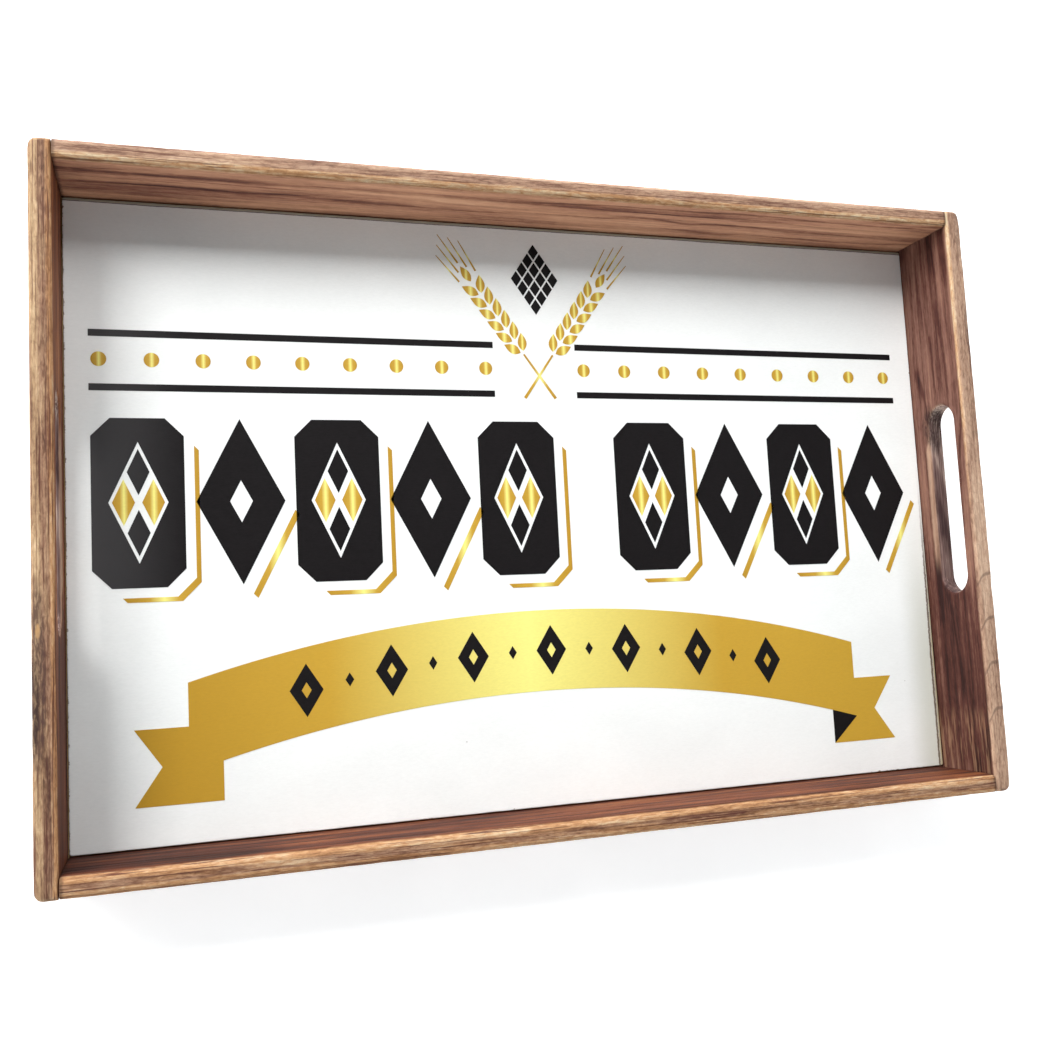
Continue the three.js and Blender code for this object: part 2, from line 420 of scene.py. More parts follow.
def make_panel():
    """The white board: square corners, softened and slightly ragged edges."""
    half_x = (PANEL_HIGH.x - PANEL_LOW.x) / 2
    half_y = (PANEL_HIGH.y - PANEL_LOW.y) / 2
    corners = [(-half_x, -half_y, 1), (half_x, -half_y, 1), (half_x, half_y, 1), (-half_x, half_y, 1)]
    outline = refined(rounded_polygon(corners), 1.2)
    low = PANEL_LOW.z
    high = PANEL_HIGH.z
    radius = PANEL_EDGE_RADIUS
    profile = [(2.5, low), (radius, low)]
    profile += [(radius - v, low + radius - u) for u, v in arc((0, 0), radius, 0, 90, 3)][1:]
    profile += [(radius - v, high - radius + u) for u, v in arc((0, 0), radius, 90, 0, 4)]
    profile += [(1.5, high), (2.5, high)]
    rings = []
    for inset, z in profile:
        fade = max(0, 1 - inset / 2)
        ring = []
        for x, y in outline:
            chip = 0.5 + 0.5 * noise.noise(Vector((x / 7, y / 7, z / 5)))
            shift = inset + PANEL_RAGGEDNESS * chip * fade
            ring.append((x * (1 - shift / half_x), y * (1 - shift / half_y), z))
        rings.append(ring)
    mesh = bmesh.new()
    add_skin(mesh, rings, closed=False)
    return finished(mesh, "painted_board")


# ------------ Materials


def srgb(red, green, blue):
    """A display colour, 0 to 255 each, as the linear colour that Blender's sockets take."""
    linear = []
    for value in (red, green, blue):
        share = value / 255
        linear.append(share / 12.92 if share <= 0.04045 else ((share + 0.055) / 1.055) ** 2.4)
    return (*linear, 1)


class Graph:
    """A material's node tree, written as nested calls: each makes one node and returns its output."""

    def __init__(self, name):
        self.material = bpy.data.materials.new(name)
        self.material.use_nodes = True
        self.tree = self.material.node_tree
        self.shader = self.tree.nodes["Principled BSDF"]

    def node(self, kind, inputs, **settings):
        made = self.tree.nodes.new(kind)
        for key, value in settings.items():
            setattr(made, key, value)
        for key, value in inputs.items():
            self.put(made.inputs[key], value)
        return made

    def put(self, socket, value):
        if isinstance(value, bpy.types.NodeSocket):
            self.tree.links.new(value, socket)
        else:
            socket.default_value = value

    def shade(self, **values):
        for key, value in values.items():
            self.put(self.shader.inputs[key.replace("_", " ").title()], value)

    def place(self):
        """The position on the piece, in its own frame, in millimetres."""
        source = self.node("ShaderNodeTexCoord", {})
        return self.times(source.outputs["Object"], (1 / MM, 1 / MM, 1 / MM))

    def vector(self, operation, first, second):
        return self.node("ShaderNodeVectorMath", {0: first, 1: second}, operation=operation).outputs[0]

    def times(self, vector, factors):
        return self.vector("MULTIPLY", vector, factors)

    def split(self, vector):
        return self.node("ShaderNodeSeparateXYZ", {0: vector}).outputs

    def math(self, operation, *values):
        inputs = dict(enumerate(values))
        return self.node("ShaderNodeMath", inputs, operation=operation).outputs[0]

    def added(self, first, second):
        return self.math("ADD", first, second)

    def less(self, first, second):
        """first less second."""
        return self.math("SUBTRACT", first, second)

    def product(self, first, second):
        return self.math("MULTIPLY", first, second)

    def scaled(self, value, factor, shift):
        """value times factor, plus shift."""
        return self.math("MULTIPLY_ADD", value, factor, shift)

    def size(self, value):
        """value without its sign."""
        return self.math("ABSOLUTE", value)

    def distance(self, across, upward):
        """How far a point is from the origin of two measures at right angles."""
        return self.math("SQRT", self.added(self.product(across, across), self.product(upward, upward)))

    def noise(self, vector, detail=2.0, roughness=0.5, scale=1.0, distortion=0.0):
        inputs = {"Vector": vector, "Scale": scale, "Detail": detail, "Roughness": roughness}
        inputs["Distortion"] = distortion
        return self.node("ShaderNodeTexNoise", inputs).outputs["Fac"]

    def cracks_and_gap_shadows(self, vector):
        """The distance to the nearest line of a net of irregular cells."""
        inputs = {"Vector": vector, "Scale": 1.0}
        return self.node("ShaderNodeTexVoronoi", inputs, feature="DISTANCE_TO_EDGE").outputs["Distance"]

    def between(self, value, low, high, to_low=0.0, to_high=1.0):
        """value's way from low to high, smoothed and kept within to_low and to_high."""
        inputs = {"Value": value, "From Min": low, "From Max": high}
        inputs |= {"To Min": to_low, "To Max": to_high}
        made = self.node("ShaderNodeMapRange", inputs, interpolation_type="SMOOTHSTEP")
        return made.outputs["Result"]

    def ramp(self, value, stops):
        """A colour for a value: stops are (position, colour)."""
        made = self.node("ShaderNodeValToRGB", {0: value})
        band = made.color_ramp.elements
        for _ in stops[2:]:
            band.new(0.5)
        for element, (position, colour) in zip(band, stops):
            element.position = position
            element.color = colour
        return made.outputs["Color"]

    def mix(self, share, first, second, blend="MIX"):
        made = self.node("ShaderNodeMix", {}, data_type="RGBA", blend_type=blend)
        for index, value in ((0, share), (6, first), (7, second)):
            self.put(made.inputs[index], value)
        return made.outputs[2]

    def nap(self, place):
        """The fine texture of rolled paint, which the ink on it shows too."""
        return self.noise(self.times(place, (0.5, 1.6, 1.0)), 4.0, 0.6)

    def within(self, mask, limits):
        """mask, faded by each limit: a value, where it leaves none and where it leaves all."""
        for value, none, full in limits:
            mask = self.product(mask, self.between(value, none, full))
        return mask

    def surface(self, colour, roughness, relief, depth, strength, specular=0.5):
        """Sets the shader's colour and gloss, and a bump of relief, depth millimetres deep.
        Returns the material."""
        self.shade(base_color=colour, roughness=roughness)
        self.shader.inputs["Specular IOR Level"].default_value = specular
        inputs = {"Height": relief, "Distance": depth * MM, "Strength": strength}
        self.put(self.shader.inputs["Normal"], self.node("ShaderNodeBump", inputs).outputs[0])
        return self.material


def palette(tones, *colours):
    """A ramp's stops: a display colour at each tone."""
    return [(tone, srgb(*colour)) for tone, colour in zip(tones, colours)]


# Stained wood, from the darkest latewood to the palest: the inner and outer faces, then the rim's
# bands, which run along it from the outer edge to the sanded inner one.
FACE_TONES = (0.08, 0.30, 0.48, 0.66, 0.92)
RIM_TONES = (0.10, 0.32, 0.48, 0.66, 0.90)
RUSSET_FACE = palette(FACE_TONES, (44, 22, 17), (82, 43, 30), (115, 66, 42), (142, 87, 54),
                      (174, 120, 80))
UMBER_FACE = palette(FACE_TONES, (46, 25, 23), (86, 51, 43), (120, 84, 72), (144, 105, 88),
                     (172, 134, 110))
# Painted light: paler wood for the back wall's inner face, which faces away from the soft boxes.
TAN_FACE_PAINTED_LIT = palette(FACE_TONES, (80, 48, 45), (142, 95, 77), (184, 134, 106), (206, 156, 124),
                   (224, 180, 147))
RIM_PALE = palette(RIM_TONES, (106, 78, 60), (146, 115, 87), (170, 139, 106), (188, 158, 123),
                   (210, 183, 149))
RIM_PINK = palette(RIM_TONES, (108, 80, 67), (146, 114, 94), (168, 136, 114), (184, 152, 128),
                   (204, 175, 150))
RIM_DARK = palette(RIM_TONES, (70, 43, 37), (104, 72, 58), (132, 97, 78), (154, 119, 95), (180, 147, 118))
RIM_GOLD = palette((0.12, 0.45, 0.62, 0.90), (134, 92, 62), (178, 134, 94), (193, 156, 119),
                   (210, 190, 158))
SLOT_WALL = palette((0.25, 0.48, 0.66), (66, 47, 46), (120, 96, 90), (196, 174, 160))
SMOKE = srgb(80, 60, 54)
BURNT = srgb(42, 30, 30)
PALE_RIM_SPOT = srgb(196, 154, 104)
RED_STREAK = srgb(88, 50, 42)
JOINT_STAIN = srgb(60, 38, 31)
RUBBED = srgb(170, 130, 100)
RING_SPACING = 6.5
ARC_SPACING = 23.3


class Timber(Graph):
    """One board's material: torched, brushed and stained softwood. It holds the measures and
    noises that its layers share. pith is where the tree's centre would be, across the board."""

    def __init__(self, name, seed, pith):
        super().__init__(name)
        place = self.place()
        self.shifted = self.vector("ADD", place, (seed * 71.0, seed * 13.0, seed * 29.0))
        self.x, self.y, self.z = self.split(place)
        self.depth = self.less(HEIGHT, self.z)
        self.across = self.added(self.y, HALF)
        self.streak = self.grain((0.006, 0.22, 0.22), 3.0, 0.5)
        self.fibre = self.grain((0.035, 1.1, 1.1), 4.0, 0.62)
        self.mottle = self.grain((0.22, 0.95, 0.95), 3.0, 0.6, distortion=0.5)
        self.blotch = self.grain((0.016, 0.07, 0.07), 3.0, 0.55)
        ragged = self.grain((0.10, 0.6, 0.6), 4.0, 0.7)
        self.ragged = self.scaled(ragged, 3.2, -1.6)
        self.growth = self.growth_rings(pith)
        self.tone = self.summed(0.48, ((self.streak, 0.80), (self.fibre, 0.54), (self.mottle, 0.34),
                                       (self.blotch, 0.60)))
        self.tone = self.scaled(self.growth, -0.20, self.tone)

    def grain(self, stretch, *settings, **more):
        """Noise over the board, its place scaled by stretch along, through and up it."""
        return self.noise(self.times(self.shifted, stretch), *settings, **more)

    def summed(self, middle, noises):
        """middle, plus each noise's difference from a half times its weight."""
        total = middle
        for noise_value, weight in noises:
            total = self.added(total, self.scaled(noise_value, weight, -weight / 2))
        return total

    def growth_rings(self, pith):
        """Late wood, from 0 to 1: soft dark lines that bend, and come and go, along the board."""
        bend = self.grain((0.009, 0.03, 0.03), 2.0)
        wander = self.grain((0.03, 0.12, 0.12), 2.0)
        across = self.less(self.y, pith[0])
        upward = self.less(self.z, pith[1])
        radius = self.scaled(bend, 20.0, self.distance(across, upward))
        radius = self.scaled(wander, 4.0, radius)
        ring = self.math("FRACT", self.math("DIVIDE", radius, RING_SPACING))
        line = self.between(self.size(self.less(ring, 0.5)), 0.26, 0.48)
        coming = self.grain((0.012, 0.11, 0.11), 2.0)
        return self.product(line, self.between(coming, 0.42, 0.60, 0.1, 1.0))

    def board(self, faces, length, pale, gold, dark, outer=RIM_PALE, net=0.12, tones=(0.0, 0.0),
              shade_and_scorch_patches=(), butted=False):
        """The faces, the rim and the worn edges. pale and gold are the widths of the rim's outer
        and inner bands, gold at each end of the board, and dark is how dark it is between them.
        net is how strongly the torch's fine checks show on the rim. tones make the inner face and the
        rim paler or darker, and the patches darken the inner face further: painted shade in the front
        wall's corner by the left wall, and scorching elsewhere. A butted board's ends are stained dark
        instead of worn pale."""
        tone = self.added(self.tone, tones[0])
        for centre, reach, strength in shade_and_scorch_patches:
            tone = self.scaled(self.patch(centre, reach), -strength, tone)
        outside = self.ramp(self.less(self.tone, 0.10), RUSSET_FACE)
        colour = self.mix(self.between(self.y, -1.0, 1.0), outside, self.ramp(tone, faces))
        on_rim = self.scaled(self.ragged, 0.3, self.depth)
        rim = self.rim_colour(length, pale, gold, dark, outer, tones[1])
        checks = self.cracks_and_gap_shadows(self.times(self.shifted, (0.20, 0.34, 0.34)))
        rim = self.mix(self.between(checks, 0.0, 0.09, net, 0.0), rim, SMOKE)
        colour = self.mix(self.between(on_rim, 1.0, 2.4, 1.0, 0.0), colour, rim)
        from_end = self.less(length / 2, self.size(self.x))
        from_face = self.less(HALF, self.size(self.y))
        end_edge = self.math("MAXIMUM", from_end, self.math("MINIMUM", from_face, self.depth))
        foot_edge = self.math("MAXIMUM", from_face, self.z)
        bare = self.ramp(self.tone, RIM_PALE)
        for distance, shade in ((end_edge, JOINT_STAIN if butted else bare), (foot_edge, bare)):
            band = self.between(self.added(distance, self.ragged), 0.6, 2.0, 0.6, 0.0)
            colour = self.mix(band, colour, shade)
        return colour

    def rim_colour(self, length, pale, gold, dark, outer, shift):
        tone = self.added(self.tone, self.summed(shift, ((self.mottle, 0.7), (self.fibre, 0.4))))
        wavy = self.scaled(self.ragged, 0.8, self.across)
        patchy = self.grain((0.035, 0.5, 0.5), 3.0, 0.6)
        middle = self.between(wavy, pale - 0.9, pale + 0.5, 0.0, dark)
        middle = self.product(middle, self.between(patchy, 0.36, 0.56, 0.35, 1.0))
        colour = self.mix(middle, self.ramp(tone, outer), self.ramp(tone, RIM_DARK))
        width = self.between(self.x, -length / 2, length / 2, *gold)
        inner = self.added(self.less(wavy, THICKNESS), width)
        colour = self.mix(self.between(inner, -0.7, 0.7), colour, self.ramp(tone, RIM_GOLD))
        lines = self.grain((0.02, 1.5, 0.0), 3.0, 0.55, distortion=0.4)
        return self.mix(self.between(lines, 0.45, 0.38, 0.0, dark), colour, RED_STREAK)

    def patch(self, centre, reach):
        """1 within a patch of ragged outline, falling to 0 outside it. centre and reach are along,
        through and up the board."""
        away = self.scaled(self.blotch, 1.8, -0.9)
        for axis, middle, size in zip((self.x, self.y, self.z), centre, reach):
            share = self.math("DIVIDE", self.less(axis, middle), size)
            away = self.scaled(share, share, away)
        return self.between(away, 0.45, 1.35, 1.0, 0.0)

    def stained(self, colour, centre, reach, strength, stain):
        """A patch of another colour, strongest where the grain is dark."""
        speckled = self.between(self.mottle, 0.42, 0.60, strength, strength / 2)
        return self.mix(self.product(self.patch(centre, reach), speckled), colour, stain)

    def slot(self, colour):
        """The routed wall of the hand slot, dark and burnt, and the band that is rubbed bare
        along the lower side of its edge."""
        beyond = self.less(self.size(self.x), SLOT_STRAIGHT)
        beyond = self.math("MAXIMUM", beyond, 0.0)
        upward = self.less(self.z, SLOT_CENTRE_Z)
        from_wall = self.less(self.distance(beyond, upward), SLOT_RADIUS)
        reach = self.scaled(self.ragged, 0.5, from_wall)
        width = self.between(self.x, 26.0, 36.0, 3.6, 0.7)
        rubbed = self.between(self.less(reach, width), -0.4, 1.1, 0.85, 0.0)
        round_end = self.between(self.x, 33.0, 38.0)
        round_end = self.product(round_end, self.between(upward, 5.0, 0.0))
        side = self.math("MAXIMUM", self.between(upward, -5.0, -8.5), round_end)
        rubbed = self.product(rubbed, side)
        rubbed = self.product(rubbed, self.between(self.x, -42.0, -26.0))
        colour = self.mix(rubbed, colour, self.ramp(self.added(self.tone, 0.08), RIM_PINK))
        wall = self.between(self.scaled(self.ragged, 0.2, from_wall), 0.2, 0.9, 1.0, 0.0)
        burnt = self.summed(0.5, ((self.fibre, 0.9), (self.blotch, 1.6)))
        return self.mix(wall, colour, self.ramp(burnt, SLOT_WALL))

    def finished(self, colour):
        relief = self.scaled(self.growth, -0.35, self.mottle)
        relief = self.scaled(self.fibre, 0.8, relief)
        roughness = self.between(self.fibre, 0.3, 0.7, 0.58, 0.78)
        return self.surface(colour, roughness, relief, 0.30, 0.55, 0.14)


def saw_arcs(w, colour):
    """Faint curved marks across the rim, a steady distance apart, on the board's lower half."""
    inward = w.math("DIVIDE", w.across, THICKNESS)
    bowed = w.scaled(w.math("POWER", w.math("MAXIMUM", inward, 0.0), 4.0), 7.0, w.x)
    bowed = w.scaled(w.blotch, 5.0, bowed)
    cell = w.math("FRACT", w.math("DIVIDE", w.added(bowed, 10 * ARC_SPACING + 38), ARC_SPACING))
    off = w.product(w.size(w.less(cell, 0.5)), ARC_SPACING)
    mark = w.between(w.less(ARC_SPACING / 2, off), 0.3, 1.4, 0.5, 0.0)
    mark = w.within(mark, ((w.x, -30.0, -36.0), (w.x, -122.0, -116.0), (w.depth, 2.0, 1.0)))
    return w.mix(mark, colour, SMOKE)


def end_smears(w, colour):
    """Pale streaks, rubbed along the grain, near one end of the inner face."""
    mask = w.between(w.grain((0.03, 0.45, 0.45), 3.0, 0.6), 0.48, 0.60)
    mask = w.within(mask, ((w.x, -108.0, -122.0), (w.depth, 2.0, 5.0), (w.y, 0.0, 1.0)))
    return w.mix(w.product(mask, 0.5), colour, RUBBED)


def right_end_timber(seed):
    w = Timber("right_end_timber", seed, (26, 4))
    low_end = ((-88, HALF, 26), (62, 6.0, 48), 0.21)
    high_end = ((132, HALF, 42), (22, 6.0, 10), 0.12)
    colour = w.board(UMBER_FACE, END_WALL_LENGTH, pale=7.4, gold=(-1.5, 1.2), dark=0.25,
                     outer=RIM_PINK, net=0.16, tones=(0.0, 0.05), shade_and_scorch_patches=(low_end, high_end))
    colour = w.stained(colour, (138, -3.0, HEIGHT), (18, 3.0, 3.0), 0.4, SMOKE)
    colour = w.stained(colour, (91, -4.0, HEIGHT), (12, 2.4, 3.0), 0.6, SMOKE)
    colour = saw_arcs(w, colour)
    colour = end_smears(w, colour)
    colour = w.slot(colour)
    colour = w.stained(colour, (40, HALF - 3, 24), (14, 6.0, 7), 0.8, BURNT)
    return w.finished(colour)


def left_end_timber(seed):
    w = Timber("left_end_timber", seed, (-20, 70))
    low_end = ((100, HALF, 26), (60, 6.0, 60), 0.20)
    colour = w.board(RUSSET_FACE, END_WALL_LENGTH, pale=3.8, gold=(2.2, 1.8), dark=0.85,
                     tones=(0.08, -0.07), shade_and_scorch_patches=(low_end,))
    colour = w.stained(colour, (62, -2.2, HEIGHT), (38, 3.2, 3.0), 0.8, SMOKE)
    colour = w.stained(colour, (76, -4.0, HEIGHT), (20, 2.0, 4.0), 0.6, BURNT)
    # A small pale spot on the rim.
    colour = w.stained(colour, (49, -2.0, HEIGHT), (3.2, 1.0, 2.0), 0.8, PALE_RIM_SPOT)
    colour = w.slot(colour)
    return w.finished(colour)


def front_timber(seed):
    w = Timber("front_side_timber", seed, (34, 80))
    # Painted shade: the inner face darkened in the corner by the left wall.
    left_end = ((-205, HALF, 26), (70, 6.0, 60), 0.14)
    colour = w.board(RUSSET_FACE, LONG_WALL_LENGTH, pale=3.0, gold=(3.2, 3.2), dark=0.9,
                     outer=RIM_GOLD, tones=(-0.10, 0.01), shade_and_scorch_patches=(left_end,), butted=True)
    return w.finished(colour)


def back_timber(seed):
    w = Timber("back_side_timber", seed, (-30, -12))
    left_end = ((190, HALF, 30), (60, 6.0, 30), 0.06)
    smoky_top = ((0, HALF, 42), (260, 6.0, 3.5), 0.16)
    # Painted light: paler wood and a raised tone on the inner face, which the soft boxes don't reach.
    colour = w.board(TAN_FACE_PAINTED_LIT, LONG_WALL_LENGTH, pale=2.6, gold=(3.2, 3.2), dark=0.7,
                     outer=RIM_PINK, tones=(0.05, 0.07), shade_and_scorch_patches=(left_end, smoky_top), butted=True)
    return w.finished(colour)


# The board's edge colours: a bare strip, a broken lip, and two dark lines that are the gap's shadow painted
# on the board.
BARE_BOARD = srgb(150, 144, 120)
BROKEN_LIP = srgb(178, 160, 118)
BACK_GAP_SHADOW = srgb(58, 54, 46)
RIGHT_GAP_SHADOW = srgb(80, 54, 22)


def panel_material():
    """Off-white paint, rolled on hardboard: a faint nap, sparse specks, chips along its edges, a pale strip
    along the back and right ones edged by a dark line, the gap's painted shadow, and painted shade by the
    lower part of the right one."""
    g = Graph("off_white_paint")
    place = g.place()
    x, y, _ = g.split(place)
    nap = g.nap(place)
    cloud = g.noise(g.times(place, (0.02, 0.03, 0.02)), 2.0)
    tone = g.scaled(cloud, 0.5, g.product(nap, 0.5))
    paint = g.ramp(tone, ((0.3, srgb(237, 238, 236)), (0.7, srgb(247, 248, 246))))

    cell = g.node("ShaderNodeTexVoronoi", {"Vector": g.times(place, (0.045, 0.06, 0.0)), "Scale": 1.0})
    speck = g.between(cell.outputs["Distance"], 0.012, 0.022, 0.55, 0.0)
    chosen = g.between(g.split(cell.outputs["Color"])[0], 0.62, 0.66)
    paint = g.mix(g.product(speck, chosen), paint, srgb(120, 112, 100))

    from_end = g.less(PANEL_HIGH.x, g.size(x))
    from_side = g.less(PANEL_HIGH.y, g.size(y))
    edge = g.math("MINIMUM", from_end, from_side)
    chip = g.noise(g.times(place, (0.35, 0.35, 0.5)), 4.0, 0.7)
    chipped = g.between(g.noise(g.times(place, (0.03, 0.03, 0.03)), 2.0), 0.50, 0.62)
    chipped = g.math("MAXIMUM", chipped, g.between(x, PANEL_LOW.x + 8.0, PANEL_LOW.x + 2.0, 0.0, 0.9))
    bare = g.between(g.scaled(chip, -4.0, edge), -2.2, -1.7, 0.8, 0.0)
    paint = g.mix(g.product(bare, chipped), paint, srgb(112, 80, 62))
    lower = g.between(y, 20.0, -50.0)
    from_back = g.less(PANEL_HIGH.y, y)
    from_right = g.less(PANEL_HIGH.x, x)
    # Painted shade: the paint greyed in a band beside the lower part of the right wall.
    painted_shade_by_right_wall = g.product(g.between(from_right, 4.0, 22.0, 0.6, 0.0), g.between(y, 20.0, -90.0))
    paint = g.mix(painted_shade_by_right_wall, paint, srgb(188, 188, 170))
    narrowing = g.between(y, 20.0, -120.0, 0.4, -0.5)
    # Each row: the distance in from the edge, where it shows, how much it wanders, the pale strip's colour,
    # how far in its dark line lies, and the line's colour, which is the gap's painted shadow.
    cracks_and_gap_shadows = (
        (from_back, 1.0, 0.5, BARE_BOARD, 0.3, BACK_GAP_SHADOW),
        (g.added(from_right, narrowing), lower, 1.7, BROKEN_LIP, 0.9, RIGHT_GAP_SHADOW),
    )
    for inset, shown, wander, lip, reach, line in cracks_and_gap_shadows:
        wavering = g.scaled(cloud, 0.8, g.scaled(chip, wander, inset))
        strip = g.product(g.between(wavering, 1.8, 2.0, 0.8, 0.0), shown)
        paint = g.mix(strip, paint, lip)
        off = g.size(g.less(wavering, 1.8 + reach))
        # Painted shadow of the gap beside the wall: a dark line just in from the edge.
        gap_shadow = g.product(g.between(off, reach * 0.3, reach, 0.9, 0.0), shown)
        paint = g.mix(gap_shadow, paint, line)
    return g.surface(paint, g.between(nap, 0.3, 0.7, 0.42, 0.6), nap, 0.05, 0.3, 0.3)


def ink_material():
    """Black ink, slightly uneven where the paint's nap shows through it, and greyer towards the left end,
    where a sheen is painted on.
    """
    g = Graph("black_ink")
    place = g.place()
    nap = g.nap(place)
    ink = g.ramp(nap, ((0.3, srgb(20, 17, 18)), (0.7, srgb(27, 24, 25))))
    # A painted sheen: the ink turns grey towards the board's left end.
    painted_sheen = g.between(g.split(place)[0], -212.0, -165.0, 0.5, 0.0)
    ink = g.mix(painted_sheen, ink, srgb(88, 86, 87))
    return g.surface(ink, g.between(nap, 0.3, 0.7, 0.42, 0.58), nap, 0.04, 0.3, 0.12)


DEEP_GOLD = srgb(184, 140, 38)
WARM_GOLD = srgb(200, 158, 54)
PALE_GOLD = srgb(246, 238, 136)


def gold_material(name, places, shades):
    """Gold ink printed as a blend from left to right over each shape."""
    g = Graph(name)
    place = g.place()
    nap = g.nap(place)
    across = g.node("ShaderNodeAttribute", {}, attribute_name="shine").outputs["Fac"]
    blend = g.ramp(across, list(zip(places, shades)))
    grit = g.ramp(nap, ((0.3, (0.93, 0.93, 0.93, 1)), (0.7, (1, 1, 1, 1))))
    gold = g.mix(1.0, blend, grit, "MULTIPLY")
    return g.surface(gold, g.between(nap, 0.3, 0.7, 0.4, 0.55), nap, 0.04, 0.3, 0.3)


PLY_THICKNESS = 5 / 3


def plywood_material():
    """Bare plywood: a pale rotary-cut veneer on both faces, and the plies at its edges."""
    g = Graph("bare_plywood")
    place = g.place()
    height = g.split(place)[2]
    figure = g.noise(g.times(place, (0.01, 0.08, 0.05)), 3.0, 0.6)
    rings = g.math("FRACT", g.product(figure, 9.0))
    fibre = g.noise(g.times(place, (0.06, 1.4, 1.4)), 4.0, 0.6)
    tone = g.scaled(rings, 0.35, g.product(fibre, 0.65))
    veneer = g.ramp(tone, palette((0.2, 0.6, 0.9), (176, 140, 98), (205, 172, 128), (222, 192, 150)))
    ply = g.math("FRACT", g.math("DIVIDE", g.less(height, BASE_LOW.z), 2 * PLY_THICKNESS))
    veneer = g.mix(g.between(ply, 0.40, 0.52, 0.0, 0.25), veneer, srgb(140, 104, 68))
    return g.surface(veneer, g.between(fibre, 0.3, 0.7, 0.6, 0.8), fibre, 0.15, 0.4)


def nail_material():
    """Dull steel with a little rust on it."""
    g = Graph("dull_nail_steel")
    place = g.place()
    spots = g.noise(g.times(place, (1.4, 1.4, 1.4)), 4.0, 0.65)
    rust = g.between(spots, 0.50, 0.66)
    steel = g.mix(rust, srgb(138, 138, 140), srgb(92, 58, 40))
    g.shade(metallic=g.between(spots, 0.50, 0.66, 1.0, 0.1))
    return g.surface(steel, g.between(spots, 0.4, 0.66, 0.32, 0.75), spots, 0.06, 0.5)


# ------------ The printed design
# Rules and dots, two crossed sprigs with a lozenge between them, a band of tiles and lozenges, and
# a ribbon with diamonds on it. Places are from the middle of the board.

RULES = ((-209.0, -23.5), (19.4, 206.5))
RULE_HEIGHTS = (81.8, 57.4)
RULE_THICKNESS = 3.1
DOT_RADIUS = 3.3
DOT_HEIGHT = 70.0
DOT_STARTS = (-204.8, 23.7)
DOT_PITCH = 22.15
DOTS_A_SIDE = 9

BAND_TOP = 43.6
BAND_FOOT = -31.6
BAND_MIDDLE = (BAND_TOP + BAND_FOOT) / 2
TILE_WIDTH = 39.0
TILE_PITCH = 43.8
TILE_CHAMFER = 8.0
TILE_OPENING = (12.5, 27.0)
TILE_DIAMOND = [0.38 * half_size for half_size in TILE_OPENING]
LOZENGE_OPENING = (5.0, 9.6)
BAND_STARTS = {-208.6: 5, 37.6: 4}
SHADOW_SHIFT = 4.3
SHADOW_WIDTH = 2.0

RIBBON_CENTRE_X = -1.4
RIBBON_HALF = 168.7
RIBBON_TOP = -49.2
RIBBON_DEPTH = 38.8
RIBBON_RADIUS = 594
RIBBON_TAIL_OUT = 22.6
RIBBON_TAIL_DEPTH = 32.9
RIBBON_TAIL_DROP = 19.0
RIBBON_NOTCH = 11.4
RIBBON_FOLD = 14.3
RIBBON_DIAMONDS = 13
RIBBON_DIAMOND_PITCH = 19.6

EMBLEM_ROWS = 4
EMBLEM_HEIGHT = 116.0
SPRIG_FOOT = (-8.0, 55.5)
SPRIG_TIP = (44.0, 129.0)
SPRIG_STEM = 27
SPRIG_CROWN = 71.0
LEAF_PAIRS = 6
LEAF_PITCH = 7.0
LEAF_LEAN = 0.52

INK_FLOOR = PANEL_HIGH.z - 0.05
INK_TOP = PANEL_HIGH.z + INK_HEIGHT
OVERPRINT_TOP = INK_TOP + 0.03


def diamond(x, y, half_width, half_height):
    return [(x + half_width, y), (x, y + half_height), (x - half_width, y), (x, y - half_height)]


def print_plates(name, plates, material, top):
    """Prints shapes on the board as one piece. A plate is a list of loops: outline, then holes."""
    mesh = bmesh.new()
    for loops in plates:
        add_plate(mesh, loops, INK_FLOOR, top)
    piece = finished(mesh, name, smooth_below=30)
    piece.data.materials.append(material)
    return piece


def rule_plates():
    plates = []
    for left, right in RULES:
        for height in RULE_HEIGHTS:
            low = height - RULE_THICKNESS / 2
            high = height + RULE_THICKNESS / 2
            plates.append([[(left, low), (right, low), (right, high), (left, high)]])
    return plates


def dot_plates():
    plates = []
    for start in DOT_STARTS:
        for index in range(DOTS_A_SIDE):
            centre = (start + index * DOT_PITCH, DOT_HEIGHT)
            plates.append([arc(centre, DOT_RADIUS, 0, 352.5, 47)])
    return plates


def tile_outline(left):
    """A tall plaque with its corners cut off."""
    right = left + TILE_WIDTH
    cut = TILE_CHAMFER
    return [
        (left + cut, BAND_FOOT),
        (right - cut, BAND_FOOT),
        (right, BAND_FOOT + cut),
        (right, BAND_TOP - cut),
        (right - cut, BAND_TOP),
        (left + cut, BAND_TOP),
        (left, BAND_TOP - cut),
        (left, BAND_FOOT + cut),
    ]


def lozenge_outline(left):
    return diamond(left + TILE_WIDTH / 2, BAND_MIDDLE, TILE_WIDTH / 2, (BAND_TOP - BAND_FOOT) / 2)


def band_places():
    """Where each motif of the band starts, and whether it is a tile or a lozenge."""
    places = []
    for start, count in BAND_STARTS.items():
        for index in range(count):
            places.append((start + index * TILE_PITCH, index % 2 == 0))
    return places


def band_plates():
    plates = []
    for left, is_tile in band_places():
        centre = left + TILE_WIDTH / 2
        if is_tile:
            width, height = TILE_OPENING
            plates.append([tile_outline(left), diamond(centre, BAND_MIDDLE, width, height)])
            for side in (-1, 1):
                plates.append([diamond(centre, BAND_MIDDLE + side * height / 2, *TILE_DIAMOND)])
        else:
            plates.append([lozenge_outline(left), diamond(centre, BAND_MIDDLE, *LOZENGE_OPENING)])
    return plates


